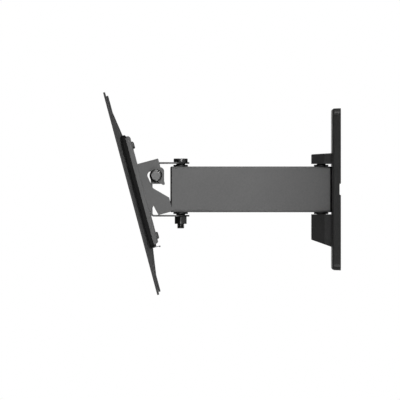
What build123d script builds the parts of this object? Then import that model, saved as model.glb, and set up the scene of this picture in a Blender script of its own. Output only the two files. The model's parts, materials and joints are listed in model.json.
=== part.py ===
"""Full motion wall mount for a flat screen.

A steel plate and yoke stand on the wall under a moulded cover. A rectangular
tube swings on the yoke's upright bolt and carries a swivel bracket at its far
end. A tilting bracket hooks over the cross bolt of the swivel bracket and
holds the screen plate with its two upright rails.

The origin is on the wall, at the middle of the wall plate. +Y points into
the wall and +Z up. At rest the arm stands straight out and the screen
plate leans forward by lean_deg.
"""
import os
from math import atan2, cos, degrees, hypot, radians, sin

from build123d import *

os.makedirs("parts", exist_ok=True)

# Clearances
running_gap = 0.05   # radius, between a bolt and what turns on it
slip_gap = 0.05      # radius or side, between pieces pushed together
hole_gap = 0.20      # radius, between a bolt and a punched hole
tube_gap = 0.35      # radius, between a bolt and a spacer tube
entry_gap = 0.25     # radius, between the tilt bolt and the way into the hook
stop_gap = 0.20      # between the tilt bracket and its stop
swing_gap = 1.05     # between the swinging tube end and the yoke
window_gap = 1.20    # beside the tube end in the cover's window
spacer_gap = 0.80    # between the tilt spacer and the window in the web
seat_gap = 0.40      # between the tilt bracket and the screen plate's rim

# Bolts and nuts of the three pivots
bolt_d = 8.0
bolt_head_d = 15.3
bolt_head_h = 4.0
bolt_head_edge = 1.0
bolt_tail = 5.0      # thread past the nut
nut_af = 13.0
nut_h = 8.0
nut_edge = 0.8
washer_d = 16.0
washer_t = 1.6

# Arm tube and its end caps
arm_height = 50.0
arm_width = 20.0
arm_wall = 1.8
arm_corner = 3.0
arm_span = 153.5     # between the two upright pivots
arm_overhang = 9.7   # tube past each pivot
cap_flange = 1.6
cap_edge = 1.4
cap_plug = 2.2
cap_wall = 1.6

# Bushes and spacer tubes of the upright pivots
bush_flange_d = 15.8
bush_flange_h = 1.9
bush_hub_d = 9.8
bush_hub_h = 1.0
bush_spigot_d = 14.0
bush_spigot_h = 5.0
spacer_d = 12.0

# Wall plate and yoke
plate_w = 54.0
plate_h = 170.0
plate_t = 1.8
plate_rise = 1.45    # pressed rim and screw seats that keep the plate off the wall
plate_corner = 5.0
screw_hole_d = 8.0
screw_seat_d = 12.0  # pressed seat round each wall screw
screw_row = 38.0     # between the two columns of wall screws
screw_column = 144.0  # between the top and bottom wall screws
yoke_t = 2.0
yoke_w = 22.0
yoke_bend = 4.0
yoke_nose_r = 8.2

# Cover with its two hoods
cover_side = 1.4     # between the wall plate and the cover
cover_wall = 1.6
cover_end = 1.7      # between the wall plate and the cover, above and below
cover_depth = 9.4
cover_corner = 7.0
cover_edge = 2.6
cover_draft_deg = 2.0
hood_w = 30.0
hood_nose_w = 14.0
hood_reach = 10.8    # nose past the upright bolt
hood_knee = 3.2      # from the upright bolt back to where the sides taper
hood_knee_r = 3.0
hood_nose_r = 2.0
hood_edge = 1.0
upper_rim = 0.1      # hood rims stand past the yoke's tongues
lower_rim = 0.7
upper_nose = 10.4    # height of the hoods at the nose and at the cover
upper_root = 11.7
lower_nose = 27.8
lower_root = 35.7
pry_notch = 12.6     # in each side, at the wall
pry_depth = 1.4
pry_corner = 1.3

# Swivel bracket
strap_t = 1.8
strap_bend = 3.4
strap_w = 36.0
tongue_w = 19.0
shoulder_ahead = 13.3  # from the head pivot to the strap's wide part
shoulder_corner = 2.5
tilt_ahead = 27.0    # from the head pivot to the tilt bolt
tilt_below = 12.8    # from the upper tongue down to the tilt bolt
web_ahead = 3.85     # from the tilt bolt to the web
ear_back = 8.8       # ear past the tilt bolt, towards the wall
ear_half = 9.1       # ear above and below the tilt bolt
ear_corner = 4.3

# Tilt bolt
tilt_head_d = 13.8
tilt_head_h = 4.0
tilt_head_edge = 2.0
tilt_nut_h = 6.5
tilt_tail = 3.0
tilt_washer_d = 13.6
friction_d = 13.6
friction_t = 1.0
lean_deg = 15.0

# Tilt bracket
drop = 12.5          # from the tilt bolt down to the screen's centre
bracket_t = 1.8
bracket_w = 60.0
bracket_h = 6.0      # of its base over the screen plate
bracket_head = 0.8   # from the screen plate's upper edge to the base's upper end
bracket_foot = 1.1   # from the screen plate's lower rim to the base's lower end
bracket_bend = 2.6
bracket_corner = 2.4
hook_reach = 7.0     # hook past the tilt bolt, towards the wall
hook_up = 17.3
hook_down = 42.4
hook_corner = 3.0
jaw_tip = 1.5        # rounding of the jaw over the way in
lobe_reach = 7.6     # lobe under the way in, past the tilt bolt
lobe_corner = 7.0
lobe_heel = 3.0
hook_toe = 8.3       # lower end of the hook, ahead of the tilt bolt
hook_waist = 11.1    # inner corner over the toe
hook_root = 30.8     # that corner, below the tilt bolt
hook_foot = 38.6     # lower end of the hook on the base
seat_ahead = 5.0     # where the bolt drops in, ahead of its seat
seat_above = 1.8
throat_ahead = 3.0   # where the way in turns upwards
throat_below = 10.2
mouth_run = 17.0     # slanted way in
screw_d = 5.0
screw_head_d = 7.6
screw_head_h = 2.2
screw_head_edge = 1.2
screw_tail = 0.8
bracket_screw_x = 44.0
bracket_screw_end = 11.5  # from the screen plate's edges

# Screen plate
pan_t = 2.0
pan_h = 125.0
pan_rim = 2.0
pan_side = 3.0       # screen plate past the rails
pan_corner = 8.0
screen_small = 75.0  # squares of screen screws
screen_medium = 100.0
screen_large = 200.0
small_hole_d = 5.0
large_hole_d = 6.6

# Rails
rail_l = 225.0
rail_w = 30.0
rail_t = 2.0
rail_corner = 8.0
rib_h = 4.6
rib_w = 17.0
rib_top = 125.0
rib_foot = 188.0
rail_bolt_d = 6.0
rail_bolt_v = 80.0
rail_head_d = 10.5
rail_head_h = 2.4
rail_head_edge = 1.0
rail_nut_d = 11.0
rail_nut_h = 1.8
rail_collar_d = 8.4

# Clip under the screen plate
clip_t = 0.6
clip_w = 14.0
clip_reach = 4.6
clip_curl_d = 1.6

# Places that follow from the sizes above
bolt_r = bolt_d / 2
half_gap = arm_height / 2 + bush_flange_h + bush_hub_h
end_reach = arm_overhang + cap_flange
swing_r = hypot(end_reach - cap_edge, arm_width / 2 - cap_edge) + cap_edge
plate_front = plate_rise + plate_t
wall_y = -(plate_front + yoke_t + swing_gap + swing_r)
head_y = wall_y - arm_span
tilt_y = head_y - tilt_ahead
web_y = tilt_y - web_ahead
yoke_z = half_gap + yoke_t
strap_z = half_gap + strap_t
tilt_above = half_gap - tilt_below
ear_x = strap_w / 2
hook_x = ear_x + friction_t
outer_x = hook_x + bracket_t

lean = radians(lean_deg)
back_dir = Vector(0, cos(lean), sin(lean))
up_dir = Vector(0, -sin(lean), cos(lean))
tilt_axis = Vector(0, tilt_y, tilt_above)
bend_ahead = web_ahead + strap_t - strap_bend
bend_below = tilt_above + strap_z - strap_bend
stop_reach = bend_ahead * cos(lean) + bend_below * sin(lean) + strap_bend
base_u = -(stop_reach + stop_gap)
pan_u = base_u - bracket_h
rail_u = pan_u - pan_t
screen_u = rail_u - rib_h - rail_t
rail_x = screen_large / 2
pan_w = screen_large + rail_w + 2 * pan_side
side_plane = Plane(tilt_axis, x_dir=back_dir, z_dir=(1, 0, 0))


def leaning_plane(u):
    """Plane of the screen plate at a distance behind the tilt bolt, facing the screen."""
    return Plane(tilt_axis + back_dir * u - up_dir * drop, x_dir=(1, 0, 0), z_dir=back_dir * -1)


def level_plane(y, z):
    """Level plane on an upright pivot."""
    return Plane((0, y, z), x_dir=(1, 0, 0), z_dir=(0, 0, 1))


def cross_plane(x):
    """Upright plane on the tilt bolt, facing +X."""
    return Plane((x, tilt_y, tilt_above), x_dir=(0, 1, 0), z_dir=(1, 0, 0))


def save(piece, name):
    piece.part.label = name
    export_step(piece.part, f"parts/{name}.step")


# Wall plate: a pressed pan with its rim and screw seats on the wall, four seats, and two for a single stud
screw_places = [(x, z * screw_column / 2) for x in (-screw_row / 2, 0, screw_row / 2) for z in (-1, 1)]
with BuildPart() as wall_plate:
    with BuildSketch(Plane.XZ):
        RectangleRounded(plate_w, plate_h, plate_corner)
    extrude(amount=plate_front)
    with BuildSketch(Plane.XZ):
        RectangleRounded(plate_w - 2 * plate_t, plate_h - 2 * plate_t, plate_corner - plate_t)
    extrude(amount=plate_rise, mode=Mode.SUBTRACT)
    with BuildSketch(Plane.XZ):
        with Locations(*screw_places):
            Circle(screw_seat_d / 2 + plate_t)
    extrude(amount=plate_rise)
    with BuildSketch(Plane.XZ.offset(plate_t)):
        with Locations(*screw_places):
            Circle(screw_seat_d / 2)
    extrude(amount=plate_rise, mode=Mode.SUBTRACT)
    with BuildSketch(Plane.XZ):
        with Locations(*screw_places):
            Circle(screw_hole_d / 2)
    extrude(amount=plate_t, mode=Mode.SUBTRACT)
    with BuildSketch(Plane.YZ):
        RectangleRounded(2 * pry_depth, pry_notch, pry_corner)
    extrude(amount=plate_w, both=True, mode=Mode.SUBTRACT)
save(wall_plate, "wall_plate")

# Yoke: a bent strap with two tongues that hold the upright bolt
yoke_tip = wall_y - yoke_nose_r
yoke_front = -plate_front - yoke_t
yoke_root = -plate_front - yoke_bend
with BuildPart() as wall_yoke:
    with BuildSketch(Plane.YZ) as yoke_side:
        with BuildLine():
            Polyline(
                (-plate_front, yoke_z), (yoke_tip, yoke_z), (yoke_tip, half_gap), (yoke_front, half_gap),
                (yoke_front, -half_gap), (yoke_tip, -half_gap), (yoke_tip, -yoke_z), (-plate_front, -yoke_z),
                close=True,
            )
        make_face()
        fillet(yoke_side.vertices().group_by(Axis.X)[-2], yoke_bend - yoke_t)
        fillet(yoke_side.vertices().group_by(Axis.X)[-1], yoke_bend)
    extrude(amount=yoke_w / 2, both=True)
    with BuildSketch(Plane.XY):
        with BuildLine():
            Polyline(
                (-yoke_w / 2, -plate_front), (-yoke_w / 2, yoke_root), (-yoke_nose_r, wall_y),
                (yoke_nose_r, wall_y), (yoke_w / 2, yoke_root), (yoke_w / 2, -plate_front),
                close=True,
            )
        make_face()
        with Locations((0, wall_y)):
            Circle(yoke_nose_r)
    extrude(amount=yoke_z + yoke_t, both=True, mode=Mode.INTERSECT)
    with BuildSketch(level_plane(wall_y, 0)):
        Circle(bolt_r + hole_gap)
    extrude(amount=yoke_z + yoke_t, both=True, mode=Mode.SUBTRACT)
save(wall_yoke, "wall_yoke")


def hood(rim, nose, root, inset, back):
    """One hood as a block: its plan tapers to the nose, and its far end slopes from nose to root."""
    nose_y = wall_y - hood_reach
    knee_y = wall_y + hood_knee
    far = 2 * root - rim
    with BuildPart() as block:
        with BuildSketch(Plane.XY.offset(rim)) as plan:
            with BuildLine():
                Polyline(
                    (-hood_w / 2, 0), (-hood_w / 2, knee_y), (-hood_nose_w / 2, nose_y),
                    (hood_nose_w / 2, nose_y), (hood_w / 2, knee_y), (hood_w / 2, 0),
                    close=True,
                )
            make_face()
            fillet(plan.vertices().group_by(Axis.Y)[0], hood_nose_r)
            fillet(plan.vertices().filter_by_position(Axis.Y, knee_y - 0.01, knee_y + 0.01), hood_knee_r)
            if inset:
                offset(amount=-inset, mode=Mode.REPLACE)
        extrude(amount=far - rim)
        with BuildSketch(Plane.YZ):
            with BuildLine():
                Polyline(
                    (nose_y, rim), (nose_y, nose), (-cover_depth, root), (back, root), (back, rim),
                    close=True,
                )
            make_face()
        extrude(amount=hood_w, both=True, mode=Mode.INTERSECT)
        if not inset:
            ahead = block.faces().filter_by(lambda face: face.center().Y < -cover_depth)
            slope = ahead.sort_by(Axis.Z)[-1 if root > rim else 0]
            fillet(slope.edges().filter_by(lambda edge: edge.center().Y < -cover_depth - hood_edge), hood_edge)
    return block.part


# Cover: one moulded shell that hides the plate, its hoods hide the ends of the upright bolt
cover_w = plate_w + 2 * (cover_side + cover_wall)
cover_h = plate_h + 2 * (cover_end + cover_wall)
high_rim = half_gap - upper_rim
low_rim = -half_gap + lower_rim
hood_back = cover_wall / 2 - cover_depth
with BuildPart() as wall_cover:
    with BuildSketch(Plane.XZ):
        RectangleRounded(cover_w, cover_h, cover_corner)
    extrude(amount=cover_depth, taper=cover_draft_deg)
    fillet(wall_cover.faces().sort_by(Axis.Y)[0].edges(), cover_edge)
    add(hood(high_rim, high_rim + upper_nose, high_rim + upper_root, 0, hood_back))
    add(hood(low_rim, low_rim - lower_nose, low_rim - lower_root, 0, hood_back))
    with BuildSketch(Plane.XZ):
        RectangleRounded(cover_w - 2 * cover_wall, cover_h - 2 * cover_wall, cover_corner - cover_wall)
    extrude(amount=cover_depth - cover_wall, mode=Mode.SUBTRACT)
    add(hood(high_rim, high_rim + upper_nose - cover_wall, high_rim + upper_root - cover_wall, cover_wall, 0),
        mode=Mode.SUBTRACT)
    add(hood(low_rim, low_rim - lower_nose + cover_wall, low_rim - lower_root + cover_wall, cover_wall, 0),
        mode=Mode.SUBTRACT)
    with BuildSketch(Plane.XZ):
        with Locations((0, (high_rim + low_rim) / 2)):
            Rectangle(2 * (end_reach + window_gap), high_rim - low_rim)
    extrude(amount=cover_depth, mode=Mode.SUBTRACT)
    with BuildSketch(Plane.YZ):
        RectangleRounded(2 * pry_depth, pry_notch, pry_corner)
    extrude(amount=cover_w, both=True, mode=Mode.SUBTRACT)
save(wall_cover, "wall_cover")


def upright_bolt(y, head_z, end_z):
    """Bolt with a low round head on top."""
    with BuildPart() as bolt:
        with BuildSketch(level_plane(y, head_z)):
            Circle(bolt_head_d / 2)
        extrude(amount=bolt_head_h)
        fillet(bolt.faces().sort_by(Axis.Z)[-1].edges(), bolt_head_edge)
        with BuildSketch(level_plane(y, head_z)):
            Circle(bolt_r)
        extrude(amount=end_z - head_z)
        chamfer(bolt.faces().sort_by(Axis.Z)[0].edges(), bolt_r / 6)
    return bolt.part


def lock_nut(plane, height):
    """Hexagon nut on a plane, its corners turned off at the free end."""
    with BuildPart() as nut:
        with BuildSketch(plane):
            RegularPolygon(nut_af / 2, 6, major_radius=False)
        extrude(amount=height)
        with BuildSketch(plane):
            Circle(nut_af / 2 + nut_edge)
        extrude(amount=height, taper=nut_edge, mode=Mode.INTERSECT)
        with BuildSketch(plane):
            Circle(bolt_r + slip_gap)
        extrude(amount=height, mode=Mode.SUBTRACT)
    return nut.part


# Upright bolt of the wall base, with its washer and nut inside the lower hood
with BuildPart() as wall_pivot_bolt:
    add(upright_bolt(wall_y, yoke_z, -(yoke_z + washer_t + nut_h + bolt_tail)))
save(wall_pivot_bolt, "wall_pivot_bolt")

with BuildPart() as wall_pivot_washer:
    with BuildSketch(level_plane(wall_y, -yoke_z)):
        Circle(washer_d / 2)
        Circle(bolt_r + hole_gap, mode=Mode.SUBTRACT)
    extrude(amount=-washer_t)
save(wall_pivot_washer, "wall_pivot_washer")

under_washer = Plane((0, wall_y, -yoke_z - washer_t), x_dir=(1, 0, 0), z_dir=(0, 0, -1))
with BuildPart() as wall_pivot_nut:
    add(lock_nut(under_washer, nut_h))
save(wall_pivot_nut, "wall_pivot_nut")

# Arm tube, with a hole for each bush
arm_middle = (wall_y + head_y) / 2
tube_l = arm_span + 2 * arm_overhang
with BuildPart() as arm_tube:
    with BuildSketch(Plane((0, arm_middle, 0), x_dir=(1, 0, 0), z_dir=(0, -1, 0))):
        RectangleRounded(arm_width, arm_height, arm_corner)
        RectangleRounded(arm_width - 2 * arm_wall, arm_height - 2 * arm_wall, arm_corner - arm_wall,
                         mode=Mode.SUBTRACT)
    extrude(amount=tube_l / 2, both=True)
    with BuildSketch(Plane.XY):
        with Locations((0, wall_y), (0, head_y)):
            Circle(bush_spigot_d / 2 + slip_gap)
    extrude(amount=arm_height, both=True, mode=Mode.SUBTRACT)
save(arm_tube, "arm_tube")


def end_cap(y, turn):
    """Plug with a flange that closes one end of the tube; turn is the way it faces along Y."""
    plug_gap = arm_wall + slip_gap
    plug_corner = arm_corner - arm_wall
    mouth = Plane((0, y, 0), x_dir=(1, 0, 0), z_dir=(0, turn, 0))
    with BuildPart() as cap:
        with BuildSketch(mouth):
            RectangleRounded(arm_width, arm_height, arm_corner)
        extrude(amount=cap_flange)
        outer = cap.faces().sort_by(Axis.Y)[-1 if turn > 0 else 0]
        fillet(outer.edges(), cap_edge)
        with BuildSketch(mouth):
            RectangleRounded(arm_width - 2 * plug_gap, arm_height - 2 * plug_gap, plug_corner)
            Rectangle(arm_width - 2 * (plug_gap + cap_wall), arm_height - 2 * (plug_gap + cap_wall),
                      mode=Mode.SUBTRACT)
        extrude(amount=-cap_plug)
    return cap.part


with BuildPart() as wall_end_cap:
    add(end_cap(wall_y + arm_overhang, 1))
save(wall_end_cap, "wall_end_cap")

with BuildPart() as head_end_cap:
    add(end_cap(head_y - arm_overhang, -1))
save(head_end_cap, "head_end_cap")


def bush(y, turn):
    """Flanged bush with a low hub outside and a spigot in the tube's wall; turn is up or down."""
    seat = Plane((0, y, turn * arm_height / 2), x_dir=(1, 0, 0), z_dir=(0, 0, turn))
    with BuildPart() as ring:
        with BuildSketch(seat):
            Circle(bush_flange_d / 2)
        extrude(amount=bush_flange_h)
        with BuildSketch(seat):
            Circle(bush_hub_d / 2)
        extrude(amount=bush_flange_h + bush_hub_h)
        with BuildSketch(seat):
            Circle(bush_spigot_d / 2)
        extrude(amount=-bush_spigot_h)
        with BuildSketch(seat):
            Circle(bolt_r + running_gap)
        extrude(amount=arm_height / 2, both=True, mode=Mode.SUBTRACT)
    return ring.part


with BuildPart() as upper_wall_bush:
    add(bush(wall_y, 1))
save(upper_wall_bush, "upper_wall_bush")

with BuildPart() as lower_wall_bush:
    add(bush(wall_y, -1))
save(lower_wall_bush, "lower_wall_bush")

with BuildPart() as upper_head_bush:
    add(bush(head_y, 1))
save(upper_head_bush, "upper_head_bush")

with BuildPart() as lower_head_bush:
    add(bush(head_y, -1))
save(lower_head_bush, "lower_head_bush")

# Spacer tubes keep the bushes apart inside the arm
spacer_half = arm_height / 2 - bush_spigot_h
with BuildPart() as wall_spacer_tube:
    with BuildSketch(level_plane(wall_y, 0)):
        Circle(spacer_d / 2)
        Circle(bolt_r + tube_gap, mode=Mode.SUBTRACT)
    extrude(amount=spacer_half, both=True)
save(wall_spacer_tube, "wall_spacer_tube")

with BuildPart() as head_spacer_tube:
    with BuildSketch(level_plane(head_y, 0)):
        Circle(spacer_d / 2)
        Circle(bolt_r + tube_gap, mode=Mode.SUBTRACT)
    extrude(amount=spacer_half, both=True)
save(head_spacer_tube, "head_spacer_tube")

# Swivel bracket: a bent strap with two tongues, and two ears for the tilt bolt
tongue_tip = head_y + tongue_w / 2
shoulder_y = head_y - shoulder_ahead
with BuildPart() as swivel_bracket:
    with BuildSketch(Plane.YZ) as strap_side:
        with BuildLine():
            Polyline(
                (web_y - strap_t, strap_z), (tongue_tip, strap_z), (tongue_tip, half_gap), (web_y, half_gap),
                (web_y, -half_gap), (tongue_tip, -half_gap), (tongue_tip, -strap_z), (web_y - strap_t, -strap_z),
                close=True,
            )
        make_face()
        fillet(strap_side.vertices().group_by(Axis.X)[1], strap_bend - strap_t)
        fillet(strap_side.vertices().group_by(Axis.X)[0], strap_bend)
    extrude(amount=strap_w / 2, both=True)
    with BuildSketch(Plane.XY) as strap_plan:
        with Locations((0, (web_y - strap_t + shoulder_y) / 2)):
            Rectangle(strap_w, shoulder_y - web_y + strap_t)
        fillet(strap_plan.vertices().group_by(Axis.Y)[-1], shoulder_corner)
        with Locations((0, (web_y + head_y) / 2)):
            Rectangle(tongue_w, head_y - web_y)
        with Locations((0, head_y)):
            Circle(tongue_w / 2)
            Circle(bolt_r + hole_gap, mode=Mode.SUBTRACT)
    extrude(amount=strap_z + strap_t, both=True, mode=Mode.INTERSECT)
    with BuildSketch(Plane((0, web_y, tilt_above), x_dir=(1, 0, 0), z_dir=(0, -1, 0))):
        Rectangle(2 * (ear_x - strap_t), spacer_d + 2 * spacer_gap)
    extrude(amount=strap_t, mode=Mode.SUBTRACT)
    for x in (-ear_x, ear_x - strap_t):
        with BuildSketch(cross_plane(x)) as ear:
            with Locations(((ear_back - web_ahead - strap_t) / 2, 0)):
                Rectangle(ear_back + web_ahead + strap_t, 2 * ear_half)
            fillet(ear.vertices().group_by(Axis.X)[-1], ear_corner)
        extrude(amount=strap_t)
    with BuildSketch(cross_plane(0)):
        Circle(bolt_r + hole_gap)
    extrude(amount=strap_w, both=True, mode=Mode.SUBTRACT)
save(swivel_bracket, "swivel_bracket")

# Upright bolt of the swivel head, with its nut below
with BuildPart() as head_pivot_bolt:
    add(upright_bolt(head_y, strap_z, -(strap_z + nut_h + bolt_tail)))
save(head_pivot_bolt, "head_pivot_bolt")

under_strap = Plane((0, head_y, -strap_z), x_dir=(1, 0, 0), z_dir=(0, 0, -1))
with BuildPart() as head_pivot_nut:
    add(lock_nut(under_strap, nut_h))
save(head_pivot_nut, "head_pivot_nut")

# Tilt bolt across the ears, with its spacer, friction washers, washer and nut
tilt_end = outer_x + washer_t + tilt_nut_h + tilt_tail
with BuildPart() as tilt_bolt:
    with BuildSketch(cross_plane(outer_x)):
        Circle(tilt_head_d / 2)
    extrude(amount=tilt_head_h)
    fillet(tilt_bolt.faces().sort_by(Axis.X)[-1].edges(), tilt_head_edge)
    with BuildSketch(cross_plane(outer_x)):
        Circle(bolt_r)
    extrude(amount=-outer_x - tilt_end)
    chamfer(tilt_bolt.faces().sort_by(Axis.X)[0].edges(), bolt_r / 6)
save(tilt_bolt, "tilt_bolt")

with BuildPart() as tilt_spacer:
    with BuildSketch(cross_plane(0)):
        Circle(spacer_d / 2)
        Circle(bolt_r + tube_gap, mode=Mode.SUBTRACT)
    extrude(amount=ear_x - strap_t, both=True)
save(tilt_spacer, "tilt_spacer")

with BuildPart() as friction_washers:
    for x in (ear_x, -hook_x):
        with BuildSketch(cross_plane(x)):
            Circle(friction_d / 2)
            Circle(bolt_r + hole_gap, mode=Mode.SUBTRACT)
        extrude(amount=friction_t)
save(friction_washers, "friction_washers")

with BuildPart() as tilt_washer:
    with BuildSketch(cross_plane(-outer_x)):
        Circle(tilt_washer_d / 2)
        Circle(bolt_r + hole_gap, mode=Mode.SUBTRACT)
    extrude(amount=-washer_t)
save(tilt_washer, "tilt_washer")

beside_washer = Plane((-outer_x - washer_t, tilt_y, tilt_above), x_dir=(0, 0, 1), z_dir=(-1, 0, 0))
with BuildPart() as tilt_nut:
    add(lock_nut(beside_washer, tilt_nut_h))
save(tilt_nut, "tilt_nut")

# Tilt bracket: a channel on the screen plate with two hooks that hang on the tilt bolt
base_top = pan_h / 2 - bracket_head - drop
base_foot = bracket_foot + pan_t - pan_h / 2 - drop
rim_u = pan_u + pan_rim
rim_top = pan_h / 2 - drop - pan_t - seat_gap
bracket_screw_v = pan_h - 2 * bracket_screw_end
mouth_v = -throat_below - throat_ahead - hook_reach
way_in = [
    (0, 0),
    (-seat_ahead, seat_above),
    (-throat_ahead, -throat_below),
    (mouth_run - throat_ahead, -mouth_run - throat_below),
]
with BuildPart() as tilt_bracket:
    with BuildSketch(Plane(tilt_axis + up_dir * base_foot, x_dir=(1, 0, 0), z_dir=up_dir)) as channel:
        with BuildLine():
            Polyline(
                (-bracket_w / 2, pan_u), (-bracket_w / 2, base_u), (bracket_w / 2, base_u), (bracket_w / 2, pan_u),
                (bracket_w / 2 - bracket_t, pan_u), (bracket_w / 2 - bracket_t, base_u - bracket_t),
                (bracket_t - bracket_w / 2, base_u - bracket_t), (bracket_t - bracket_w / 2, pan_u),
                close=True,
            )
        make_face()
        fillet(channel.vertices().group_by(Axis.Y)[1], bracket_bend - bracket_t)
        fillet(channel.vertices().group_by(Axis.Y)[-1], bracket_bend)
    extrude(amount=base_top - base_foot)
    with BuildSketch(side_plane) as channel_side:
        with BuildLine():
            Polyline(
                (pan_u, base_foot), (pan_u, rim_top), (rim_u + seat_gap, rim_top), (rim_u + seat_gap, base_top),
                (base_u, base_top), (base_u, base_foot),
                close=True,
            )
        make_face()
        fillet(channel_side.vertices().group_by(Axis.X)[-1], bracket_corner)
    extrude(amount=bracket_w, both=True, mode=Mode.INTERSECT)
    for x in (hook_x, -outer_x):
        with BuildSketch(side_plane.offset(x)) as hook:
            with BuildLine():
                Polyline(
                    (base_u - bracket_t / 2, hook_up), (hook_reach, hook_up), (hook_reach, mouth_v),
                    (lobe_reach, mouth_v), (lobe_reach, -hook_down), (-hook_toe, -hook_down),
                    (-hook_waist, -hook_root), (base_u - bracket_t / 2, -hook_foot),
                    close=True,
                )
            make_face()
            Circle(bolt_r + running_gap, mode=Mode.SUBTRACT)
            for start, end in zip(way_in[:-1], way_in[1:]):
                run = hypot(end[0] - start[0], end[1] - start[1])
                turn = degrees(atan2(end[1] - start[1], end[0] - start[0]))
                wide = bolt_d + 2 * (running_gap if start == way_in[0] else entry_gap)
                with Locations(((start[0] + end[0]) / 2, (start[1] + end[1]) / 2)):
                    SlotCenterToCenter(run, wide, rotation=turn, mode=Mode.SUBTRACT)
            lobe = hook.vertices().filter_by_position(Axis.X, lobe_reach - 0.01, lobe_reach + 0.01).sort_by(Axis.Y)
            fillet(lobe[0], lobe_heel)
            fillet(lobe[-1], lobe_corner)
            jaw = hook.vertices().filter_by_position(Axis.X, hook_reach - 0.01, hook_reach + 0.01).sort_by(Axis.Y)
            fillet(jaw[0], jaw_tip)
            fillet(jaw[-1], hook_corner)
        extrude(amount=bracket_t)
    with BuildSketch(leaning_plane(base_u)):
        with GridLocations(bracket_screw_x, bracket_screw_v, 2, 2):
            Circle(screw_d / 2 + hole_gap)
    extrude(amount=bracket_t, mode=Mode.SUBTRACT)
save(tilt_bracket, "tilt_bracket")

with BuildPart() as bracket_screws:
    with BuildSketch(leaning_plane(base_u)):
        with GridLocations(bracket_screw_x, bracket_screw_v, 2, 2):
            Circle(screw_head_d / 2)
    extrude(amount=-screw_head_h)
    fillet(bracket_screws.faces().filter_by(Axis(tilt_axis, back_dir)).group_by(Axis(tilt_axis, back_dir))[-1]
           .edges(), screw_head_edge)
    with BuildSketch(leaning_plane(base_u)):
        with GridLocations(bracket_screw_x, bracket_screw_v, 2, 2):
            Circle(screw_d / 2)
    extrude(amount=bracket_h + pan_t + screw_tail)
save(bracket_screws, "bracket_screws")

# Screen plate: a pressed pan with its rim towards the wall
with BuildPart() as head_plate:
    with BuildSketch(leaning_plane(rim_u)):
        RectangleRounded(pan_w, pan_h, pan_corner)
    extrude(amount=pan_rim + pan_t)
    with BuildSketch(leaning_plane(rim_u)):
        RectangleRounded(pan_w - 2 * pan_t, pan_h - 2 * pan_t, pan_corner - pan_t)
    extrude(amount=pan_rim, mode=Mode.SUBTRACT)
    with BuildSketch(leaning_plane(pan_u)):
        with GridLocations(screen_small, screen_small, 2, 2):
            Circle(small_hole_d / 2)
        with GridLocations(screen_medium, screen_medium, 2, 2):
            Circle(small_hole_d / 2)
        with GridLocations(bracket_screw_x, bracket_screw_v, 2, 2):
            Circle(screw_d / 2 + slip_gap)
        with GridLocations(2 * rail_x, rail_bolt_v, 2, 2):
            Circle(rail_collar_d / 2 + slip_gap)
    extrude(amount=pan_t, mode=Mode.SUBTRACT)
save(head_plate, "head_plate")


def rail(x):
    """Upright rail: a flat strip with a pressed rib that stands on the screen plate."""
    half_top = rib_top / 2
    half_foot = rib_foot / 2
    spread = (half_foot - half_top) / rib_h
    strip_u = screen_u + rail_t
    with BuildPart() as strip:
        with BuildSketch(leaning_plane(strip_u)):
            with Locations((x, 0)):
                RectangleRounded(rail_w, rail_l, rail_corner)
        extrude(amount=rail_t)
        with BuildSketch(side_plane.offset(x)):
            with BuildLine():
                Polyline(
                    (screen_u, -drop - half_foot - rail_t * spread), (rail_u, -drop - half_top),
                    (rail_u, half_top - drop), (screen_u, half_foot - drop + rail_t * spread),
                    close=True,
                )
            make_face()
        extrude(amount=rib_w / 2, both=True)
        with BuildSketch(side_plane.offset(x)):
            with BuildLine():
                Polyline(
                    (screen_u - rail_t, -drop - half_foot - rail_t * spread), (rail_u - rail_t, -drop - half_top),
                    (rail_u - rail_t, half_top - drop), (screen_u - rail_t, half_foot - drop + rail_t * spread),
                    close=True,
                )
            make_face()
        extrude(amount=rib_w / 2 - rail_t, both=True, mode=Mode.SUBTRACT)
        with BuildSketch(leaning_plane(rail_u)):
            with Locations((x, screen_large / 2), (x, -screen_large / 2)):
                Circle(large_hole_d / 2)
            with Locations((x, rail_bolt_v / 2), (x, -rail_bolt_v / 2)):
                Circle(rail_bolt_d / 2 + hole_gap)
        extrude(amount=rib_h + 2 * rail_t, mode=Mode.SUBTRACT)
    return strip.part


with BuildPart() as left_rail:
    add(rail(-rail_x))
save(left_rail, "left_rail")

with BuildPart() as right_rail:
    add(rail(rail_x))
save(right_rail, "right_rail")

# Rail bolts, their heads inside the ribs, and the nuts pressed into the screen plate
with BuildPart() as rail_bolts:
    with BuildSketch(leaning_plane(rail_u - rail_t)):
        with GridLocations(2 * rail_x, rail_bolt_v, 2, 2):
            Circle(rail_head_d / 2)
    extrude(amount=rail_head_h)
    fillet(rail_bolts.faces().filter_by(Axis(tilt_axis, back_dir)).group_by(Axis(tilt_axis, back_dir))[0]
           .edges(), rail_head_edge)
    with BuildSketch(leaning_plane(rail_u - rail_t)):
        with GridLocations(2 * rail_x, rail_bolt_v, 2, 2):
            Circle(rail_bolt_d / 2)
    extrude(amount=-(rail_t + pan_t + rail_nut_h))
save(rail_bolts, "rail_bolts")

with BuildPart() as rail_nuts:
    with BuildSketch(leaning_plane(pan_u)):
        with GridLocations(2 * rail_x, rail_bolt_v, 2, 2):
            Circle(rail_nut_d / 2)
    extrude(amount=-rail_nut_h)
    with BuildSketch(leaning_plane(pan_u)):
        with GridLocations(2 * rail_x, rail_bolt_v, 2, 2):
            Circle(rail_collar_d / 2)
    extrude(amount=pan_t)
    with BuildSketch(leaning_plane(rail_u)):
        with GridLocations(2 * rail_x, rail_bolt_v, 2, 2):
            Circle(rail_bolt_d / 2 + slip_gap)
    extrude(amount=-(pan_t + rail_nut_h), mode=Mode.SUBTRACT)
save(rail_nuts, "rail_nuts")

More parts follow.
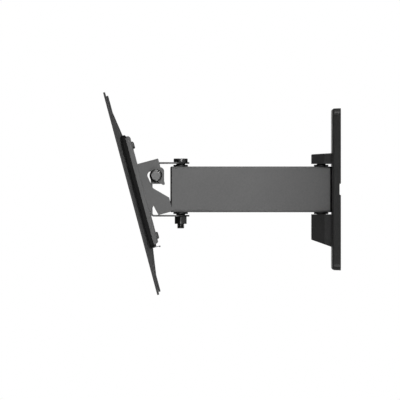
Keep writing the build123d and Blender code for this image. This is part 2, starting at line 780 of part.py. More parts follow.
# Spring leaf on the lower rim of the screen plate, its free end rolled
clip_v = -pan_h / 2 - drop
clip_end = rim_u + clip_reach
with BuildPart() as cable_clip:
    with BuildSketch(side_plane) as leaf:
        with Locations(((rail_u + clip_end) / 2, clip_v - clip_t / 2)):
            Rectangle(clip_end - rail_u, clip_t)
        with Locations((clip_end, clip_v - clip_curl_d / 2)):
            Circle(clip_curl_d / 2)
    extrude(amount=clip_w / 2, both=True)
save(cable_clip, "cable_clip")
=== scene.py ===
"""Studio scene for a full motion wall mount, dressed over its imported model."""
import json
from math import cos, pi, radians, sin

import bmesh
import bpy
from mathutils import Matrix, Vector


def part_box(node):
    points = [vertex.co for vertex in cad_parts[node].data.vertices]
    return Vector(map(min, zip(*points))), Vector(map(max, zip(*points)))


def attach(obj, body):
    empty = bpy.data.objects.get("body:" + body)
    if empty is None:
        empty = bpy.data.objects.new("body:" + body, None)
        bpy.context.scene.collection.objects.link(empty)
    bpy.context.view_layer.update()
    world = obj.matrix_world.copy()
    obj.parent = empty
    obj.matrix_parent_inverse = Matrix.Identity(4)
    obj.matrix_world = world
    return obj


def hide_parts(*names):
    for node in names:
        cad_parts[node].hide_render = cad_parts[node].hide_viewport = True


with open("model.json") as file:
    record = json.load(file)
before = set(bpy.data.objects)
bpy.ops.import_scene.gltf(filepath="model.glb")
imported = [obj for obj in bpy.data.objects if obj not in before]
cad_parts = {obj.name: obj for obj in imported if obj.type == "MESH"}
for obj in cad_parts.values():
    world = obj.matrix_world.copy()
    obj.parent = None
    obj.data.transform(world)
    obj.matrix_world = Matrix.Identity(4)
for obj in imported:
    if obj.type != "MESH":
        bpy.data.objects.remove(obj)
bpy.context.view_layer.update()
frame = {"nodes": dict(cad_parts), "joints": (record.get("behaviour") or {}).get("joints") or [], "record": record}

nodes = frame["nodes"]
pivots = {joint["name"]: Vector(joint["pos_m"]) for joint in frame["joints"]}
head_axis = pivots["head_swivel"]
tilt_axis = pivots["tilt"]

MM = 0.001
across = Vector((1, 0, 0))
along = Vector((0, 1, 0))
upright = Vector((0, 0, 1))

# The screen head leans forward at rest
LEAN = radians(15)
towards_wall = Vector((0, cos(LEAN), sin(LEAN)))
up_the_plate = Vector((0, -sin(LEAN), cos(LEAN)))


def put(tree, kind, inputs=None, **settings):
    """Add a node with its settings; each input is a value or the socket that it is linked from."""
    node = tree.nodes.new(kind)
    for name, value in settings.items():
        setattr(node, name, value)
    for name, value in (inputs or {}).items():
        if isinstance(value, bpy.types.NodeSocket):
            tree.links.new(value, node.inputs[name])
        else:
            node.inputs[name].default_value = value
    return node


def linear(colour):
    """sRGB hex to the linear values that a shader takes."""
    parts = [int(colour[i:i + 2], 16) / 255 for i in (1, 3, 5)]
    return [p / 12.92 if p <= 0.04045 else ((p + 0.055) / 1.055) ** 2.4 for p in parts] + [1.0]


def per_metre(size_mm):
    """Texture scale for a pattern whose grain has a real size."""
    return 1000 / size_mm


def new_finish(name):
    """Empty material; its first node reads the piece's own coordinates."""
    finish = bpy.data.materials.new(name)
    finish.use_nodes = True
    finish.node_tree.nodes.clear()
    return finish, finish.node_tree, put(finish.node_tree, "ShaderNodeTexCoord").outputs["Object"]


def distance_from(tree, place, axis_at, axis):
    """Socket with the distance from an axis that runs along X, Y or Z."""
    centred = put(tree, "ShaderNodeMapping", {"Vector": place, "Location": -axis_at})
    flat = put(tree, "ShaderNodeVectorMath", {
        0: centred.outputs["Vector"], 1: Vector((1, 1, 1)) - axis}, operation="MULTIPLY")
    reach = put(tree, "ShaderNodeVectorMath", {0: flat.outputs["Vector"]}, operation="LENGTH")
    return reach.outputs["Value"]


# Most of a noise lies between the first two values, and most of the sum of two between the others
NOISE_LOW, NOISE_HIGH = 0.3, 0.7
SUM_LOW, SUM_HIGH = 0.7, 1.3
CLOUD_DETAIL = 3.0
GRAIN_DETAIL = 2.0
# Half the soft edge of the painted shade round a pivot
PAINTED_SHADE_EDGE_MM = 0.4


def skin(name, dark, pale, cloud_mm, grain_mm, depth_mm, roughness, spread, specular, painted_shade=None):
    """Sprayed or moulded skin: a slow cloud in the colour, and a fine grain that breaks up the shine.

    The last argument is a place on an upright axis, a radius in mm and the colour of painted shade inside that
    radius.
    """
    finish, tree, place = new_finish(name)
    cloud = put(tree, "ShaderNodeTexNoise", {
        "Vector": place, "Scale": per_metre(cloud_mm), "Detail": CLOUD_DETAIL})
    grain = put(tree, "ShaderNodeTexNoise", {
        "Vector": place, "Scale": per_metre(grain_mm), "Detail": GRAIN_DETAIL})
    both = put(tree, "ShaderNodeMath", {0: cloud.outputs["Fac"], 1: grain.outputs["Fac"]}, operation="ADD")
    share = put(tree, "ShaderNodeMapRange", {
        "Value": both.outputs[0], "From Min": SUM_LOW, "From Max": SUM_HIGH})
    colour = put(tree, "ShaderNodeMix", {
        "Factor": share.outputs["Result"], 6: linear(dark), 7: linear(pale)}, data_type="RGBA")
    # Painted shade: the colour turns darker within the radius
    if painted_shade:
        axis_at, radius_mm, shade_colour = painted_shade
        inside = put(tree, "ShaderNodeMapRange", {
            "Value": distance_from(tree, place, axis_at, upright),
            "From Min": (radius_mm + PAINTED_SHADE_EDGE_MM) * MM, "From Max": (radius_mm - PAINTED_SHADE_EDGE_MM) * MM})
        colour = put(tree, "ShaderNodeMix", {
            "Factor": inside.outputs["Result"], 6: colour.outputs[2], 7: linear(shade_colour)}, data_type="RGBA")
    shine = put(tree, "ShaderNodeMapRange", {
        "Value": grain.outputs["Fac"], "From Min": NOISE_LOW, "From Max": NOISE_HIGH,
        "To Min": roughness - spread, "To Max": roughness + spread})
    relief = put(tree, "ShaderNodeBump", {
        "Height": grain.outputs["Fac"], "Strength": 1.0, "Distance": depth_mm * MM})
    surface = put(tree, "ShaderNodeBsdfPrincipled", {
        "Base Color": colour.outputs[2], "Roughness": shine.outputs["Result"],
        "Specular IOR Level": specular, "Normal": relief.outputs["Normal"]})
    put(tree, "ShaderNodeOutputMaterial", {"Surface": surface.outputs["BSDF"]})
    return finish


# Plating varies by this much in tone, in clouds of this size
PLATING_DARK, PLATING_PALE = 0.88, 1.12
PLATING_CLOUD_MM = 2.5
# Half the soft edge round the colour inside a radius
FACE_EDGE_MM = 0.25
RING_STRENGTH = 0.4
RING_DEPTH_MM = 0.01


def turned_steel(name, rim, face, face_r_mm, axis_at, axis, ring_mm, metallic, specular, roughness, spread):
    """Plated steel: fine rings about an axis, and a second colour inside a radius, which on the tilt bolt's head
    is a painted reflection.
    """
    finish, tree, place = new_finish(name)
    reach = distance_from(tree, place, axis_at, axis)
    rings = put(tree, "ShaderNodeMath", {0: reach, 1: per_metre(ring_mm) * 2 * pi}, operation="MULTIPLY")
    rings = put(tree, "ShaderNodeMath", {0: rings.outputs[0]}, operation="SINE")
    cloud = put(tree, "ShaderNodeTexNoise", {
        "Vector": place, "Scale": per_metre(PLATING_CLOUD_MM), "Detail": CLOUD_DETAIL})
    # A second colour inside the radius: on the tilt bolt's head a painted reflection
    inside = put(tree, "ShaderNodeMapRange", {
        "Value": reach, "From Min": (face_r_mm + FACE_EDGE_MM) * MM,
        "From Max": (face_r_mm - FACE_EDGE_MM) * MM}, interpolation_type="SMOOTHSTEP")
    colour = put(tree, "ShaderNodeMix", {
        "Factor": inside.outputs["Result"], 6: linear(rim), 7: linear(face)}, data_type="RGBA")
    cloudy = put(tree, "ShaderNodeMapRange", {
        "Value": cloud.outputs["Fac"], "From Min": NOISE_LOW, "From Max": NOISE_HIGH,
        "To Min": PLATING_DARK, "To Max": PLATING_PALE})
    tone = put(tree, "ShaderNodeVectorMath", {
        0: colour.outputs[2], "Scale": cloudy.outputs["Result"]}, operation="SCALE")
    shine = put(tree, "ShaderNodeMapRange", {
        "Value": cloud.outputs["Fac"], "From Min": NOISE_LOW, "From Max": NOISE_HIGH,
        "To Min": roughness - spread, "To Max": roughness + spread})
    relief = put(tree, "ShaderNodeBump", {
        "Height": rings.outputs[0], "Strength": RING_STRENGTH, "Distance": RING_DEPTH_MM * MM})
    surface = put(tree, "ShaderNodeBsdfPrincipled", {
        "Base Color": tone.outputs["Vector"], "Metallic": metallic, "Roughness": shine.outputs["Result"],
        "Specular IOR Level": specular, "Normal": relief.outputs["Normal"]})
    put(tree, "ShaderNodeOutputMaterial", {"Surface": surface.outputs["BSDF"]})
    return finish


# Polyester powder, sprayed on steel and baked: satin, with an orange peel of 1 mm drawn at 1.8 mm to show
powder = {"cloud_mm": 50, "grain_mm": 1.8, "spread": 0.06}
grey_spray = {"dark": "#5a5a5a", "pale": "#616161", "depth_mm": 0.015, "roughness": 0.55, "specular": 0.08}
grey_powder = skin("grey_powder_coat", **grey_spray, **powder)
# The rails' powder: a duller, darker grey
rail_powder = skin("dark_grey_powder_coat", dark="#414141", pale="#4a4a4a", depth_mm=0.015,
                   roughness=0.60, specular=0.03, **powder)
# The powder of the plates and the yoke: deep black with little sheen
black_powder = skin("black_powder_coat", dark="#0c0c0c", pale="#131313", depth_mm=0.02,
                    roughness=0.50, specular=0.03, **powder)
# The swivel bracket's tongues are darker within a radius of the pivot bolt: painted shade round the bolt
PAINTED_SHADE_R_MM = 10.0
grey_powder_with_painted_shade = skin("grey_powder_coat_with_painted_shade_at_pivot", painted_shade=(head_axis, PAINTED_SHADE_R_MM, "#141414"),
                     **grey_spray, **powder)
# Polypropylene, moulded in an etched tool: satin black with a fine grain of 0.5 mm drawn at 1.1 mm to show
black_moulding = skin("moulded_black_polypropylene", dark="#2b2b2b", pale="#333333", cloud_mm=30,
                      grain_mm=1.1, depth_mm=0.02, roughness=0.30, spread=0.06, specular=0.05)
# Polyethylene, moulded: deep black and nearly matt, with a waxy grain drawn at 0.9 mm to show
black_cap = skin("moulded_black_polyethylene", dark="#101010", pale="#181818", cloud_mm=20, grain_mm=0.9,
                 depth_mm=0.02, roughness=0.45, spread=0.07, specular=0.03)
# Nylon, moulded smooth: nearly black with a soft shine
black_nylon = skin("moulded_black_nylon", dark="#080808", pale="#101010", cloud_mm=12, grain_mm=0.7,
                   depth_mm=0.01, roughness=0.36, spread=0.05, specular=0.12)
# Screws with black zinc, forged: dark grey with a faint shine
black_zinc_screws = skin("black_zinc_on_forged_screws", dark="#303030", pale="#3c3c3c", cloud_mm=6,
                         grain_mm=0.6, depth_mm=0.01, roughness=0.34, spread=0.06, specular=0.15)
# Spring steel strip, oil blackened: dark grey with a faint blue-black bloom
black_spring = skin("oil_blackened_spring_steel", dark="#34363a", pale="#414347", cloud_mm=8, grain_mm=0.6,
                    depth_mm=0.01, roughness=0.40, spread=0.06, specular=0.12)
# Rolled steel tube with clear zinc: pale, clouded and softly bright
clear_zinc = turned_steel("clear_zinc_on_rolled_steel", rim="#8d8f91", face="#8d8f91", face_r_mm=1.0,
                          axis_at=Vector((0, 0, 0)), axis=across, ring_mm=0.4,
                          metallic=1.0, specular=0.5, roughness=0.40, spread=0.08)
# Bolts, nuts and washers with black zinc, turned: deep black with a narrow bright line along each round side
black_zinc = turned_steel("black_zinc_on_turned_steel", rim="#080808", face="#0e0e0e", face_r_mm=6.0,
                          axis_at=head_axis, axis=upright, ring_mm=0.4,
                          metallic=0.0, specular=0.40, roughness=0.28, spread=0.05)
# The tilt bolt's head: a grey disc in a black rim; the grey of the disc is a painted reflection on the flat face
tilt_bolt_with_painted_reflection = turned_steel("black_zinc_with_painted_face_reflection", rim="#050505", face="#646464", face_r_mm=4.7,
                          axis_at=tilt_axis, axis=across, ring_mm=0.5,
                          metallic=0.0, specular=0.35, roughness=0.24, spread=0.04)

finishes = {
    "grey_powder_coat": grey_powder,
    "dark_grey_powder_coat": rail_powder,
    "black_powder_coat": black_powder,
    "black_moulding": black_moulding,
    "black_nylon": black_nylon,
    "black_fastener": black_zinc,
    "plain_steel": clear_zinc,
}
own_finishes = {
    "cable_clip": black_spring,
    "wall_end_cap": black_cap,
    "head_end_cap": black_cap,
    # Painted shade round the swivel bracket's pivot, and a painted reflection on the tilt bolt's face
    "swivel_bracket": grey_powder_with_painted_shade,
    "tilt_bolt": tilt_bolt_with_painted_reflection,
}

# Sharp edges get a small round, as deburred and moulded ones have; fine facets make it smaller on some pieces
EDGE = 0.25 * MM
EDGE_STEPS = 2
SHARP = radians(35)
SAME_SPOT = 0.001 * MM
# Pieces whose long flat triangles would hold the rounding back: their flats are made whole first
FLATS_FIRST = {"wall_cover", "swivel_bracket", "cable_clip", "wall_plate", "wall_pivot_bolt"}
FLAT = radians(0.3)
for part in frame["record"]["subparts"]:
    node = nodes[part["node"]]
    node.data.materials.clear()
    node.data.materials.append(own_finishes.get(part["node"], finishes[part["material_slot"]]))
    weld = node.modifiers.new("joined", "WELD")
    weld.merge_threshold = SAME_SPOT
    if part["node"] in FLATS_FIRST:
        flats = node.modifiers.new("whole_flats", "DECIMATE")
        flats.decimate_type = "DISSOLVE"
        flats.angle_limit = FLAT
    bevel = node.modifiers.new("eased_edges", "BEVEL")
    bevel.width = EDGE
    bevel.segments = EDGE_STEPS
    bevel.limit_method = "ANGLE"
    bevel.angle_limit = SHARP
    bevel.harden_normals = True


SMOOTH_UNDER = radians(32)
HEXAGON = 6
SIXTH = 2 * pi / HEXAGON


def turned_solid(stations, sides=48):
    """Closed solid of revolution about Z.

    A station is (radius, height), or (half width, height, HEXAGON) where it has six sides.
    """
    body = bmesh.new()
    rings = []
    for radius, height, *hexagon in stations:
        if radius == 0:
            rings.append([body.verts.new((0, 0, height))])
            continue
        ring = []
        for k in range(sides):
            angle = 2 * pi * k / sides
            bulge = cos((angle + SIXTH / 2) % SIXTH - SIXTH / 2) if hexagon else 1
            ring.append(body.verts.new((radius / bulge * cos(angle), radius / bulge * sin(angle), height)))
        rings.append(ring)
    for low, high in zip(rings[:-1], rings[1:]):
        for k in range(sides):
            corners = [low[k % len(low)], low[(k + 1) % len(low)],
                       high[(k + 1) % len(high)], high[k % len(high)]]
            body.faces.new(list(dict.fromkeys(corners)))
    bmesh.ops.recalc_face_normals(body, faces=body.faces)
    for face in body.faces:
        face.smooth = True
    for edge in body.edges:
        edge.smooth = edge.calc_face_angle(0) < SMOOTH_UNDER
    mesh = bpy.data.meshes.new("turned_solid")
    body.to_mesh(mesh)
    body.free()
    return mesh


def rounded(radius, height, edge, steps=5):
    """Stations of a rounded outer edge at the top of a head."""
    turns = [radians(90 * k / steps) for k in range(steps + 1)]
    return [(radius - edge + edge * cos(t), height - edge + edge * sin(t)) for t in turns]


def new_tree(name, sizes):
    """Geometry tree that takes the piece's mesh and named sizes."""
    tree = bpy.data.node_groups.new(name, "GeometryNodeTree")
    tree.interface.new_socket("Geometry", in_out="INPUT", socket_type="NodeSocketGeometry")
    for size in sizes:
        tree.interface.new_socket(size, in_out="INPUT", socket_type="NodeSocketFloat")
    tree.interface.new_socket("Finish", in_out="INPUT", socket_type="NodeSocketMaterial")
    tree.interface.new_socket("Geometry", in_out="OUTPUT", socket_type="NodeSocketGeometry")
    return tree, put(tree, "NodeGroupInput").outputs


def end_tree(tree, geometry, finish):
    """Last nodes of every tree: real faces with their finish."""
    real = put(tree, "GeometryNodeRealizeInstances", {"Geometry": geometry})
    coated = put(tree, "GeometryNodeSetMaterial", {"Geometry": real.outputs["Geometry"], "Material": finish})
    put(tree, "NodeGroupOutput", {"Geometry": coated.outputs["Geometry"]})


def grown(name, mesh, tree, values, place, body, slot, *stands_for):
    """Run a tree on a mesh, keep the result as a plain piece in its place and let it stand for CAD nodes."""
    seed = bpy.data.objects.new(name + "_seed", mesh)
    bpy.context.scene.collection.objects.link(seed)
    modifier = seed.modifiers.new("tree", "NODES")
    modifier.node_group = tree
    for item in tree.interface.items_tree:
        if item.in_out == "INPUT" and item.name in values:
            modifier[item.identifier] = values[item.name]
    bpy.context.view_layer.update()
    evaluated = seed.evaluated_get(bpy.context.evaluated_depsgraph_get())
    grown_mesh = bpy.data.meshes.new_from_object(evaluated)
    grown_mesh.transform(place)
    bpy.data.objects.remove(seed)
    piece = bpy.data.objects.new(name, grown_mesh)
    bpy.context.scene.collection.objects.link(piece)
    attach(piece, body)
    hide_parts(*stands_for)


# Four equal screws at the corners of a rectangle
screw_square, given = new_tree("screw_square", ["Spacing Across", "Spacing Along"])
corners = put(screw_square, "GeometryNodeMeshGrid", {
    "Size X": given["Spacing Across"], "Size Y": given["Spacing Along"], "Vertices X": 2, "Vertices Y": 2})
screws = put(screw_square, "GeometryNodeInstanceOnPoints", {
    "Points": corners.outputs["Mesh"], "Instance": given["Geometry"]})
end_tree(screw_square, screws.outputs["Instances"], given["Finish"])

# A screw thread from its top down -Z, closed at both ends, joined to the bolt that carries it. It is wound
# from a sheet that runs from -0.5 to 0.5 each way: X is the way down the thread, and Y is one turn about it
TURN_STEPS = 40
LENGTH_STEPS = 72
# Shares of the pitch where the flat crest ends and where the flat root begins
CREST_END, ROOT_START = 0.06, 0.44
# Rows of the sheet past this place are drawn together on the axis, which closes the ends
END_ROW = 0.4999
thread, given = new_tree("threaded_bolt", ["Top", "Length", "Crest Radius", "Depth", "Pitch"])
sheet = put(thread, "GeometryNodeMeshGrid", {
    "Size X": 1.0, "Size Y": 1.0, "Vertices X": LENGTH_STEPS, "Vertices Y": TURN_STEPS + 1})
spot = put(thread, "GeometryNodeInputPosition")
spot = put(thread, "ShaderNodeSeparateXYZ", {0: spot.outputs[0]})
down = put(thread, "ShaderNodeMath", {0: spot.outputs["X"], 1: 0.5}, operation="ADD")
drop = put(thread, "ShaderNodeMath", {0: down.outputs[0], 1: given["Length"]}, operation="MULTIPLY")
turn = put(thread, "ShaderNodeMath", {0: spot.outputs["Y"], 1: 2 * pi}, operation="MULTIPLY")
lead = put(thread, "ShaderNodeMath", {0: drop.outputs[0], 1: given["Pitch"]}, operation="DIVIDE")
lead = put(thread, "ShaderNodeMath", {0: lead.outputs[0], 1: spot.outputs["Y"]}, operation="ADD")
ridge = put(thread, "ShaderNodeMath", {0: lead.outputs[0], 1: 0.5}, operation="PINGPONG")
flank = put(thread, "ShaderNodeMapRange", {
    "Value": ridge.outputs[0], "From Min": CREST_END, "From Max": ROOT_START})
groove = put(thread, "ShaderNodeMath", {0: flank.outputs["Result"], 1: given["Depth"]}, operation="MULTIPLY")
radius = put(thread, "ShaderNodeMath", {0: given["Crest Radius"], 1: groove.outputs[0]}, operation="SUBTRACT")
left_over = put(thread, "ShaderNodeMath", {0: given["Length"], 1: drop.outputs[0]}, operation="SUBTRACT")
lead_in = put(thread, "ShaderNodeMath", {0: given["Crest Radius"], 1: given["Depth"]}, operation="SUBTRACT")
lead_in = put(thread, "ShaderNodeMath", {0: lead_in.outputs[0], 1: left_over.outputs[0]}, operation="ADD")
radius = put(thread, "ShaderNodeMath", {0: radius.outputs[0], 1: lead_in.outputs[0]}, operation="MINIMUM")
from_middle = put(thread, "ShaderNodeMath", {0: spot.outputs["X"]}, operation="ABSOLUTE")
open_row = put(thread, "ShaderNodeMath", {0: from_middle.outputs[0], 1: END_ROW}, operation="LESS_THAN")
radius = put(thread, "ShaderNodeMath", {0: radius.outputs[0], 1: open_row.outputs[0]}, operation="MULTIPLY")
east = put(thread, "ShaderNodeMath", {0: turn.outputs[0]}, operation="COSINE")
east = put(thread, "ShaderNodeMath", {0: east.outputs[0], 1: radius.outputs[0]}, operation="MULTIPLY")
north = put(thread, "ShaderNodeMath", {0: turn.outputs[0]}, operation="SINE")
north = put(thread, "ShaderNodeMath", {0: north.outputs[0], 1: radius.outputs[0]}, operation="MULTIPLY")
height = put(thread, "ShaderNodeMath", {0: given["Top"], 1: drop.outputs[0]}, operation="SUBTRACT")
target = put(thread, "ShaderNodeCombineXYZ", {
    0: east.outputs[0], 1: north.outputs[0], 2: height.outputs[0]})
wound = put(thread, "GeometryNodeSetPosition", {
    "Geometry": sheet.outputs["Mesh"], "Position": target.outputs[0]})
closed = put(thread, "GeometryNodeMergeByDistance", {
    "Geometry": wound.outputs["Geometry"], "Distance": SAME_SPOT / 2})
joined = put(thread, "GeometryNodeJoinGeometry")
thread.links.new(closed.outputs["Geometry"], joined.inputs["Geometry"])
thread.links.new(given["Geometry"], joined.inputs["Geometry"])
end_tree(thread, joined.outputs["Geometry"], given["Finish"])


def leaning_span(node):
    """Least and greatest distance of a CAD node from the tilt bolt.

    The three pairs are across, towards the wall and up the plate.
    """
    spots = [v.co - tilt_axis for v in nodes[node].data.vertices]
    spans = []
    for direction in (across, towards_wall, up_the_plate):
        reaches = [s.dot(direction) for s in spots]
        spans.append((min(reaches), max(reaches)))
    return spans


def frame_at(origin, x_axis, z_axis):
    """Placement with its X along x_axis and its Z along z_axis."""
    y_axis = z_axis.cross(x_axis)
    turned = Matrix((x_axis, y_axis, z_axis)).transposed()
    return Matrix.Translation(origin) @ turned.to_4x4()


TIP_CHAMFER = 0.4 * MM
KEY_MOUTH = 0.15 * MM
KEY_POINT = 0.3 * MM


def screw_set(name, node, head_d, head_h, head_edge, shank_d, key_width, key_depth, heads_to_wall):
    """Button-head screws with a hexagon socket that stand for one CAD node of four."""
    (left, right), (front, back), (low, high) = leaning_span(node)
    length = back - front - head_h
    stations = [
        (0, -length), (shank_d / 2 - TIP_CHAMFER, -length), (shank_d / 2, TIP_CHAMFER - length),
        (shank_d / 2, 0), (head_d / 2, 0), *rounded(head_d / 2, head_h, head_edge),
        (key_width / 2 + KEY_MOUTH, head_h, HEXAGON), (key_width / 2, head_h - KEY_MOUTH, HEXAGON),
        (key_width / 2, head_h - key_depth, HEXAGON), (0, head_h - key_depth - KEY_POINT),
    ]
    seat = back - head_h if heads_to_wall else front + head_h
    origin = tilt_axis + towards_wall * seat + up_the_plate * ((low + high) / 2)
    place = frame_at(origin, across, towards_wall if heads_to_wall else -towards_wall)
    values = {"Spacing Across": right - left - head_d, "Spacing Along": high - low - head_d,
              "Finish": black_zinc_screws}
    grown(name, turned_solid(stations), screw_square, values, place, "screen_head", "black_fastener", node)


screw_set("bracket_socket_screws", "bracket_screws", head_d=7.6 * MM, head_h=2.2 * MM, head_edge=1.2 * MM,
          shank_d=5 * MM, key_width=3 * MM, key_depth=1.3 * MM, heads_to_wall=True)
screw_set("rail_socket_bolts", "rail_bolts", head_d=10.5 * MM, head_h=2.4 * MM, head_edge=1.0 * MM,
          shank_d=6 * MM, key_width=4 * MM, key_depth=1.5 * MM, heads_to_wall=False)

BOLT_R = 4.0 * MM
HEAD_H = 4.0 * MM
THREAD_PITCH = 1.25 * MM
THREAD_DEPTH = 0.65 * MM
# The thread starts a little up the shank, and the core inside it ends a little short of its tip
THREAD_OVERLAP = 0.5 * MM
CORE_SHORT = 0.3 * MM
# A narrow ring at the rim of a flat face keeps the rest of the face flat to the light
FLAT_RIM = 0.1 * MM
# The tilt bolt's head clears the bracket that turns under it
SEAT_GAP = 0.03 * MM


def pivot_bolt(name, node, place, length, tail, head_r, head_h, head_edge, finish):
    """Round-head bolt with a threaded tail that stands for one CAD node; its seat is at height 0."""
    core_r = BOLT_R - THREAD_DEPTH
    stations = [
        (0, CORE_SHORT - length), (core_r, CORE_SHORT - length), (core_r, tail - length),
        (BOLT_R, tail - length), (BOLT_R, 0), (head_r, 0), *rounded(head_r, head_h, head_edge),
        (head_r - head_edge - FLAT_RIM, head_h), (0, head_h),
    ]
    values = {
        "Top": THREAD_OVERLAP + tail - length, "Length": tail + THREAD_OVERLAP,
        "Crest Radius": BOLT_R, "Depth": THREAD_DEPTH, "Pitch": THREAD_PITCH, "Finish": finish,
    }
    grown(name, turned_solid(stations), thread, values, place, "swivel_head", "black_fastener", node)


low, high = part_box("head_pivot_bolt")
pivot_bolt("head_pivot_threaded_bolt", "head_pivot_bolt",
           Matrix.Translation((head_axis.x, head_axis.y, high.z - HEAD_H)),
           length=high.z - low.z - HEAD_H, tail=9.0 * MM,
           head_r=7.65 * MM, head_h=HEAD_H, head_edge=0.6 * MM, finish=black_zinc)

low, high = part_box("tilt_bolt")
tilt_seat = Vector((high.x - HEAD_H + SEAT_GAP, tilt_axis.y, tilt_axis.z))
pivot_bolt("tilt_threaded_bolt", "tilt_bolt", frame_at(tilt_seat, along, across),
           length=high.x - low.x - HEAD_H, tail=7.0 * MM,
           head_r=6.9 * MM, head_h=HEAD_H - SEAT_GAP, head_edge=2.0 * MM, finish=tilt_bolt_with_painted_reflection)


def studio_sheet(name, corners, finish):
    """One flat sheet of the studio around the mount."""
    mesh = bpy.data.meshes.new(name)
    mesh.from_pydata(corners, [], [(0, 1, 2, 3)])
    mesh.materials.append(finish)
    sheet = bpy.data.objects.new(name, mesh)
    bpy.context.scene.collection.objects.link(sheet)
    return sheet


# The mount hangs over a floor with rolled matt paint: pale, with no shine. It fades out towards its rim, so
# that no horizon shows
FLOOR_DROP = 0.42
FLOOR_HALF = 0.55
FADE_START = 0.2 * FLOOR_HALF
FADE_END = 0.95 * FLOOR_HALF
floor_paint = skin("matt_floor_paint", dark="#ececec", pale="#f2f2f2", cloud_mm=300, grain_mm=4.0,
                   depth_mm=0.02, roughness=0.8, spread=0.05, specular=0.05)
paint = floor_paint.node_tree
output = paint.get_output_node("ALL")
solid = output.inputs["Surface"].links[0].from_socket
spread = put(paint, "ShaderNodeTexCoord")
spread = put(paint, "ShaderNodeVectorMath", {0: spread.outputs["Object"], 1: (1, 1, 0)}, operation="MULTIPLY")
spread = put(paint, "ShaderNodeVectorMath", {0: spread.outputs["Vector"]}, operation="LENGTH")
fade = put(paint, "ShaderNodeMapRange", {
    "Value": spread.outputs["Value"], "From Min": FADE_START, "From Max": FADE_END},
    interpolation_type="SMOOTHSTEP")
clear = put(paint, "ShaderNodeBsdfTransparent")
faded = put(paint, "ShaderNodeMixShader", {0: fade.outputs["Result"], 1: solid, 2: clear.outputs[0]})
paint.links.new(faded.outputs[0], output.inputs["Surface"])
studio_sheet("studio_floor", [(x * FLOOR_HALF, y * FLOOR_HALF, -FLOOR_DROP)
                              for x, y in ((-1, -1), (1, -1), (1, 1), (-1, 1))], floor_paint)

# Black cloths beside and over the mount, on the side away from the camera. Only reflections show them: they
# draw the dark outlines that shiny edges have in a bright field
FLAG_NEAR, FLAG_FAR = -0.2, -4.0
FLAG_FRONT, FLAG_WALL = -0.9, 0.6
FLAG_LOW, FLAG_TOP = -0.8, 0.75
cloth = skin("black_studio_cloth", dark="#050505", pale="#0a0a0a", cloud_mm=40, grain_mm=3.0,
             depth_mm=0.02, roughness=0.9, spread=0.05, specular=0.0)
flag_edges = {
    "front_flag": ((FLAG_FRONT, FLAG_LOW), (FLAG_FRONT, FLAG_TOP)),
    "wall_flag": ((FLAG_WALL, FLAG_LOW), (FLAG_WALL, FLAG_TOP)),
    "top_flag": ((FLAG_FRONT, FLAG_TOP), (FLAG_WALL, FLAG_TOP)),
}
for flag_name, (start, end) in flag_edges.items():
    flag_corners = [(FLAG_NEAR, *start), (FLAG_FAR, *start), (FLAG_FAR, *end), (FLAG_NEAR, *end)]
    flag = studio_sheet(flag_name, flag_corners, cloth)
    flag.visible_camera = False
    flag.visible_diffuse = False
    flag.visible_shadow = False
    flag.visible_transmission = False

# The world is white to the eye and in reflections, and softer as a light
WORLD_LIGHT = 0.15
WORLD_WHITE = 1.0
world = bpy.data.worlds.new("white_studio")
bpy.context.scene.world = world
world.use_nodes = True
sky = world.node_tree
sky.nodes.clear()
ray = put(sky, "ShaderNodeLightPath").outputs
seen = put(sky, "ShaderNodeMath", {0: ray["Is Camera Ray"], 1: ray["Is Glossy Ray"]}, operation="MAXIMUM")
seen = put(sky, "ShaderNodeMath", {0: seen.outputs[0], 1: ray["Is Transmission Ray"]}, operation="MAXIMUM")
soft = put(sky, "ShaderNodeBackground", {"Color": linear("#ffffff"), "Strength": WORLD_LIGHT})
white = put(sky, "ShaderNodeBackground", {"Color": linear("#ffffff"), "Strength": WORLD_WHITE})
mixed = put(sky, "ShaderNodeMixShader", {0: seen.outputs[0], 1: soft.outputs[0], 2: white.outputs[0]})
put(sky, "ShaderNodeOutputWorld", {"Surface": mixed.outputs[0]})

# The place in the mount's middle plane that is in the middle of the picture
VIEW_MIDDLE = Vector((0.0, -0.1532, -0.0116))


def aimed(name, lamp, place, target):
    """Put a lamp in its place, turned to its target; no view shows the lamp itself."""
    stand = bpy.data.objects.new(name, lamp)
    stand.location = place
    stand.rotation_euler = (target - Vector(place)).to_track_quat("-Z", "Y").to_euler()
    stand.visible_camera = False
    bpy.context.scene.collection.objects.link(stand)
    return stand


def softbox(name, place, watts, side):
    """Square lamp that looks at the middle of the picture."""
    lamp = bpy.data.lights.new(name, "AREA")
    lamp.energy = watts
    lamp.size = side
    return aimed(name, lamp, place, VIEW_MIDDLE)


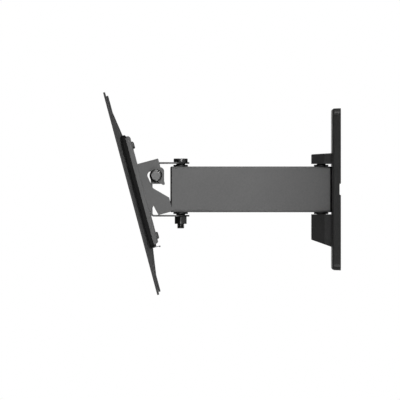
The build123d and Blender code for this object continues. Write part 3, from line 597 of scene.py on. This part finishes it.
# The key fades from the joints towards the wall
KEY_TARGET = Vector((0, -0.172, 0))
key = bpy.data.lights.new("key_spot", "SPOT")
key.energy = 162
key.spot_size = radians(9.2)
key.spot_blend = 1.0
key.shadow_soft_size = 0.06
aimed("key_spot", key, (2.55, 0.35, 0.55), KEY_TARGET)

softbox("high_softbox", (1.0, -0.05, 1.0), watts=5.0, side=0.2)
softbox("overhead_softbox", (-0.3, -0.1, 2.0), watts=11, side=1.2)
# A grid on the low lamp keeps its light off the floor
low_box = softbox("low_softbox", (0.42, -0.05, -0.40), watts=0.16, side=0.14)
low_box.data.spread = radians(75)

# Two tall strips light reflections alone: they draw the pale bands on the corners of the cover
STRIP_WIDE, STRIP_TALL = 0.5, 1.1
strips = [
    softbox("upper_strip", (1.1, -0.1, 1.1), watts=24, side=STRIP_WIDE),
    softbox("lower_strip", (1.5, -0.1, -0.8), watts=19, side=STRIP_WIDE),
]
for strip in strips:
    strip.data.shape = "RECTANGLE"
    strip.data.size_y = STRIP_TALL
    strip.visible_diffuse = False

# Fill for the sides that the key leaves dark, with no mirror image of its own
FILL_SIDE = 1.2
fills = [
    softbox("back_softbox", (-2.4, 0.6, 0.9), watts=40, side=FILL_SIDE),
    softbox("front_softbox", (-1.5, -2.2, 0.8), watts=30, side=FILL_SIDE),
    softbox("wall_softbox", (0.3, 2.2, 0.7), watts=14, side=FILL_SIDE),
]
for fill in fills:
    fill.visible_glossy = False

# Camera: square on to the side of the arm, far off with a long lens, so that the edges stay parallel
VIEW_WIDTH = 0.437
CAMERA_DISTANCE = 6.0
SENSOR_WIDTH_MM = 36.0
camera_data = bpy.data.cameras.new("side_camera")
camera_data.sensor_width = SENSOR_WIDTH_MM
camera_data.lens = SENSOR_WIDTH_MM * CAMERA_DISTANCE / VIEW_WIDTH
camera_data.clip_end = 5 * CAMERA_DISTANCE
camera = bpy.data.objects.new("side_camera", camera_data)
camera.location = VIEW_MIDDLE + across * CAMERA_DISTANCE
camera.rotation_euler = (pi / 2, 0, pi / 2)
bpy.context.scene.collection.objects.link(camera)
bpy.context.scene.camera = camera
bpy.context.scene.view_settings.view_transform = "Standard"
